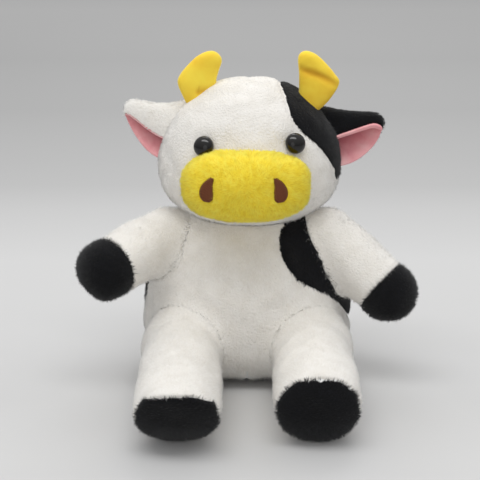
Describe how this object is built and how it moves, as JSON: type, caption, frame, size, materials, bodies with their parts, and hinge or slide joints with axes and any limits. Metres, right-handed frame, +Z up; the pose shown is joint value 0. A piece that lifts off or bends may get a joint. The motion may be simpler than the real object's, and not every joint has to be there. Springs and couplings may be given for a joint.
{
  "type": "plush cow",
  "caption": "Seated stuffed toy cow in short pile with a broad muzzle, flat soft horns, folded ears and sewn limbs that flex.",
  "frame": {"origin": "middle of the torso's flat seat, on the surface the toy sits on", "axes": "+Z up, the toy faces -Y, +X to the viewer's right"},
  "size_m": [0.1968, 0.2229, 0.1961],
  "materials": {
    "white_plush": "short white pile",
    "black_plush": "short black pile",
    "yellow_plush": "yellow fleece pile",
    "yellow_velvet": "flat yellow velvet",
    "pink_velvet": "pink velvet",
    "brown_thread": "satin stitch embroidery",
    "eye_plastic": "polished dark plastic",
    "washer_plastic": "moulded nylon",
    "fibre_filling": "loose polyester fibre",
    "pellet_bag": "woven bag of pellets"
  },
  "bodies": {
    "torso": {"torso_cover": "white_plush", "torso_side_patch": "black_plush", "torso_back_patch": "black_plush", "torso_stuffing": "fibre_filling", "seat_pellet_bag": "pellet_bag"},
    "neck": {"neck_stuffing": "fibre_filling"},
    "head": {"head_cover": "white_plush", "head_patch": "black_plush", "head_stuffing": "fibre_filling", "muzzle_cover": "yellow_plush", "muzzle_stuffing": "fibre_filling", "nostril_left": "brown_thread", "nostril_right": "brown_thread", "eye_left": "eye_plastic", "eye_right": "eye_plastic", "eye_washer_left": "washer_plastic", "eye_washer_right": "washer_plastic", "horn_left": "yellow_velvet", "horn_right": "yellow_velvet"},
    "tail": {"tail": "white_plush", "tail_tuft": "black_plush"},
    "ear_left": {"ear_outer_left": "white_plush", "ear_lining_left": "pink_velvet"},
    "arm_left": {"arm_cover_left": "white_plush", "paw_cover_left": "black_plush", "arm_stuffing_left": "fibre_filling"},
    "leg_left": {"leg_cover_left": "white_plush", "sole_left": "black_plush", "leg_stuffing_left": "fibre_filling"},
    "ear_right": {"ear_outer_right": "black_plush", "ear_lining_right": "pink_velvet"},
    "arm_right": {"arm_cover_right": "white_plush", "paw_cover_right": "black_plush", "arm_stuffing_right": "fibre_filling"},
    "leg_right": {"leg_cover_right": "white_plush", "sole_right": "black_plush", "leg_stuffing_right": "fibre_filling"}
  },
  "joints": [
    {"name": "head_turn", "type": "hinge", "parent": "torso", "child": "neck", "pos_m": [0, 0, 0.093], "axis": [0, 0, 1], "range_deg": [-12, 12], "stiffness_Nm_per_rad": 0.8},
    {"name": "head_nod", "type": "hinge", "parent": "neck", "child": "head", "pos_m": [0, 0, 0.093], "axis": [1, 0, 0], "range_deg": [-4, 4], "stiffness_Nm_per_rad": 3},
    {"name": "arm_left_lift", "type": "hinge", "parent": "torso", "child": "arm_left", "pos_m": [-0.04821, -0.00967, 0.085], "axis": [-0.7431, 0.6691, 0], "range_deg": [-4, 15], "stiffness_Nm_per_rad": 0.6},
    {"name": "arm_right_lift", "type": "hinge", "parent": "torso", "child": "arm_right", "pos_m": [0.04821, -0.00967, 0.085], "axis": [-0.515, -0.8572, 0], "range_deg": [0, 15], "stiffness_Nm_per_rad": 0.6},
    {"name": "leg_left_raise", "type": "hinge", "parent": "torso", "child": "leg_left", "pos_m": [-0.038, -0.03987, 0.0245], "axis": [-1, 0, 0], "range_deg": [0, 22], "stiffness_Nm_per_rad": 1.2},
    {"name": "leg_right_raise", "type": "hinge", "parent": "torso", "child": "leg_right", "pos_m": [0.038, -0.03987, 0.0245], "axis": [-1, 0, 0], "range_deg": [0, 22], "stiffness_Nm_per_rad": 1.2},
    {"name": "ear_left_flop", "type": "hinge", "parent": "head", "child": "ear_left", "pos_m": [-0.046, 0.004, 0.148], "axis": [-0.436, 0, -0.9], "range_deg": [-6, 6], "stiffness_Nm_per_rad": 0.03},
    {"name": "ear_right_flop", "type": "hinge", "parent": "head", "child": "ear_right", "pos_m": [0.048, 0.004, 0.143], "axis": [0.3903, 0, -0.9207], "range_deg": [-6, 6], "stiffness_Nm_per_rad": 0.03},
    {"name": "tail_swing", "type": "hinge", "parent": "torso", "child": "tail", "pos_m": [0, 0.0492, 0.046], "axis": [0, 0, 1], "range_deg": [-25, 25], "stiffness_Nm_per_rad": 0.02}
  ]
}
